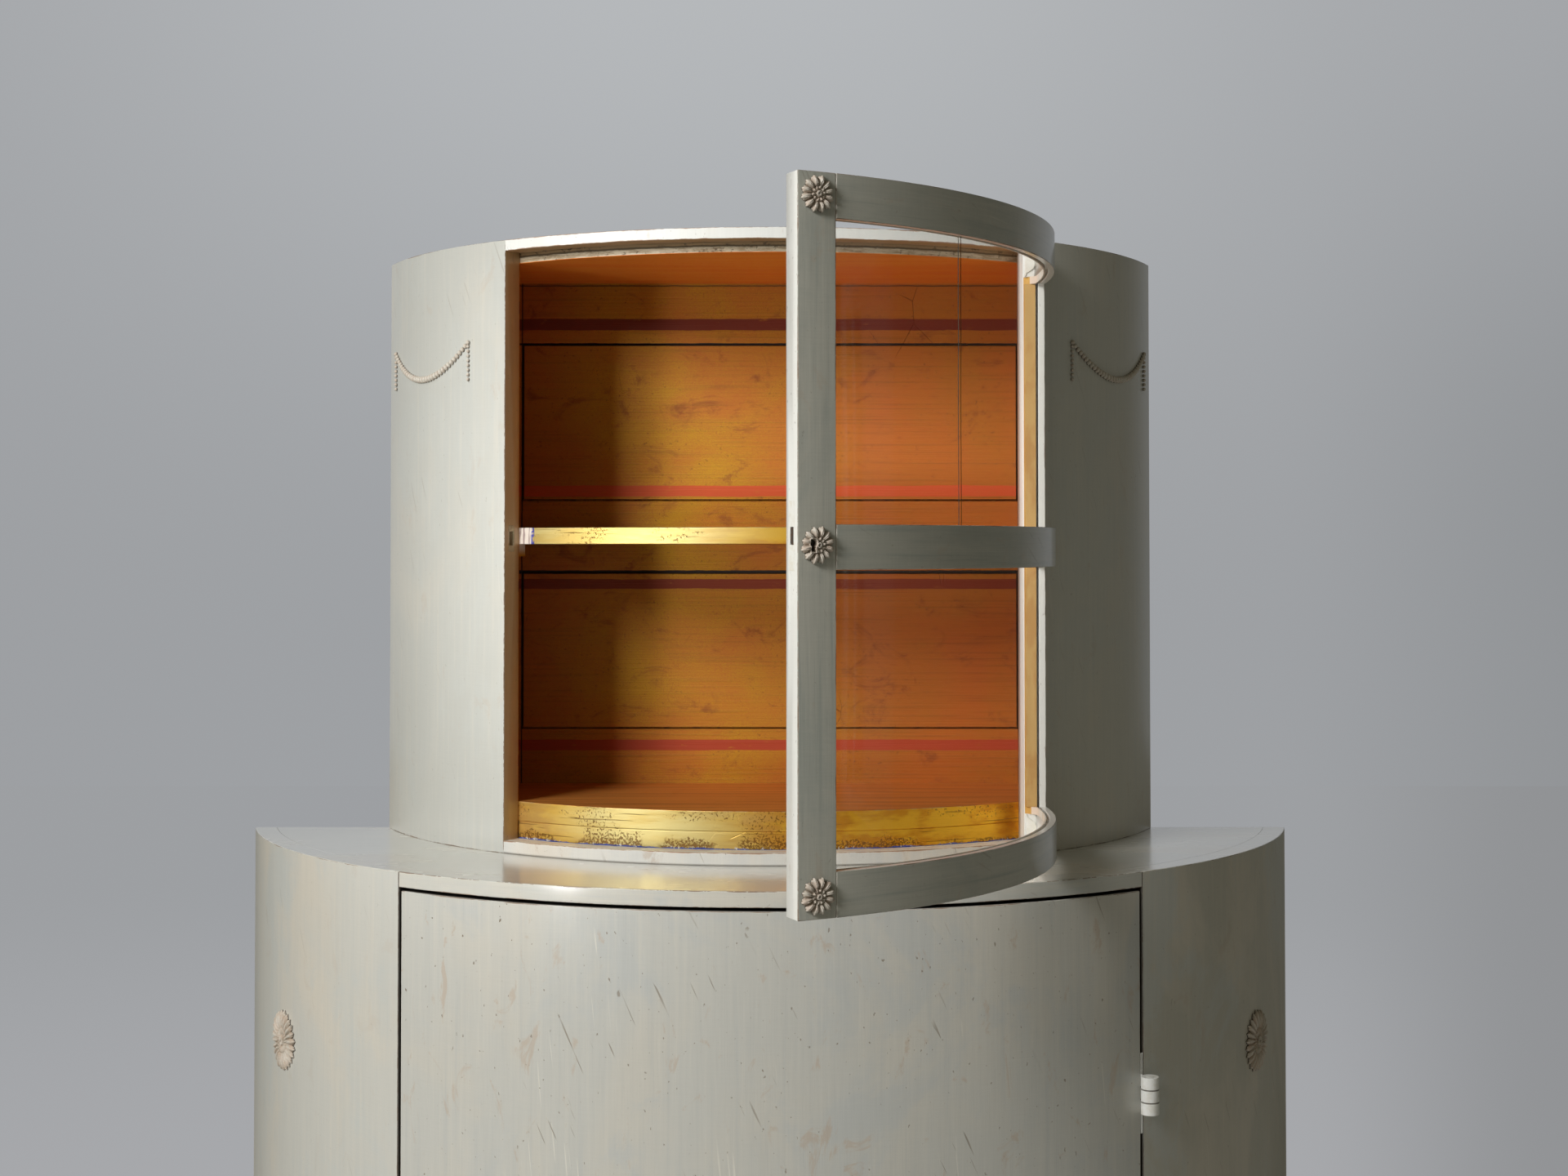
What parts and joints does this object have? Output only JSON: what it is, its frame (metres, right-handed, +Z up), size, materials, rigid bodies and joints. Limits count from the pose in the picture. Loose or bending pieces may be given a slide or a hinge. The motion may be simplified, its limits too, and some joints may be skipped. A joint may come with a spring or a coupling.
{
  "type": "cabinet",
  "caption": "Two-tier bow-front painted cupboard: a gilded display cupboard with a curved glazed door, open, on a wider base with a curved door.",
  "frame": {"origin": "on the floor, in the back plane, on the centre line", "axes": "+X to the right seen from the front, +Y to the back, +Z up"},
  "size_m": [1.0976, 0.6581, 1.4514],
  "materials": {
    "painted_wood": "grey-green satin oil paint, brushed and worn",
    "gilded_wood": "aged gold leaf and ochre with red bands",
    "bare_wood": "aged pine, unpainted",
    "ornament": "cream-grey painted carving",
    "pane": "old drawn glass, curved",
    "putty": "painted glazing bead",
    "painted_iron": "white-grey painted iron",
    "brass": "aged brass",
    "iron": "dark wrought iron"
  },
  "bodies": {
    "carcass": {"upper_side_left": "painted_wood", "upper_side_right": "painted_wood", "upper_top_board": "painted_wood", "upper_base_board": "painted_wood", "upper_floor_board": "gilded_wood", "upper_floor_riser": "gilded_wood", "upper_shelf": "gilded_wood", "upper_shelf_cleat_left": "gilded_wood", "upper_shelf_cleat_right": "gilded_wood", "upper_back_stile_left": "gilded_wood", "upper_back_stile_right": "gilded_wood", "upper_back_top_rail": "gilded_wood", "upper_back_middle_rail": "gilded_wood", "upper_back_bottom_rail": "gilded_wood", "upper_back_upper_panel": "gilded_wood", "upper_back_lower_panel": "gilded_wood", "garland_left": "ornament", "garland_right": "ornament", "upper_hinge_case_leaves": "brass", "upper_hinge_pins": "brass", "upper_strike_plate": "brass", "lower_top_board": "painted_wood", "lower_side_left": "painted_wood", "lower_side_right": "painted_wood", "lower_bottom_board": "bare_wood", "lower_front_rail": "painted_wood", "lower_shelf": "bare_wood", "lower_back_board": "bare_wood", "foot_back_left": "painted_wood", "foot_back_centre": "painted_wood", "foot_back_right": "painted_wood", "foot_front_left": "painted_wood", "foot_front_right": "painted_wood", "side_rosette_left": "ornament", "side_rosette_right": "ornament", "lower_hinge_case_leaves": "painted_iron", "lower_hinge_pins": "iron"},
    "upper_door": {"door_lock_stile": "painted_wood", "door_hinge_stile": "painted_wood", "door_top_rail": "painted_wood", "door_middle_rail": "painted_wood", "door_bottom_rail": "painted_wood", "door_glass_upper": "pane", "door_glass_lower": "pane", "door_glazing_beads_upper": "putty", "door_glazing_beads_lower": "putty", "rosette_top": "ornament", "rosette_keyhole": "ornament", "rosette_bottom": "ornament", "upper_lock_case": "iron", "upper_lock_plate": "painted_iron", "upper_hinge_door_leaves": "brass"},
    "upper_bolt": {"upper_lock_bolt": "iron"},
    "lower_door": {"lower_door_panel": "painted_wood", "lower_hinge_door_leaves": "painted_iron", "lower_lock_case": "iron", "lower_keyhole_rosette": "ornament"},
    "lower_bolt": {"lower_lock_bolt": "iron"}
  },
  "joints": [
    {"name": "upper_door_hinge", "type": "hinge", "parent": "carcass", "child": "upper_door", "pos_m": [0.26128, -0.19421, 1.1515], "axis": [0, 0, 1], "range_deg": [-62.3, 47.7]},
    {"name": "upper_lock", "type": "slide", "parent": "upper_door", "child": "upper_bolt", "axis": [-0.901, -0.4339, 0], "range_m": [0, 0.006]},
    {"name": "lower_door_hinge", "type": "hinge", "parent": "carcass", "child": "lower_door", "pos_m": [0.34775, -0.32108, 0.4828], "axis": [0, 0, 1], "range_deg": [0, 110]},
    {"name": "lower_lock", "type": "slide", "parent": "lower_door", "child": "lower_bolt", "axis": [-0.7984, 0.6021, 0], "range_m": [0, 0.006]}
  ]
}
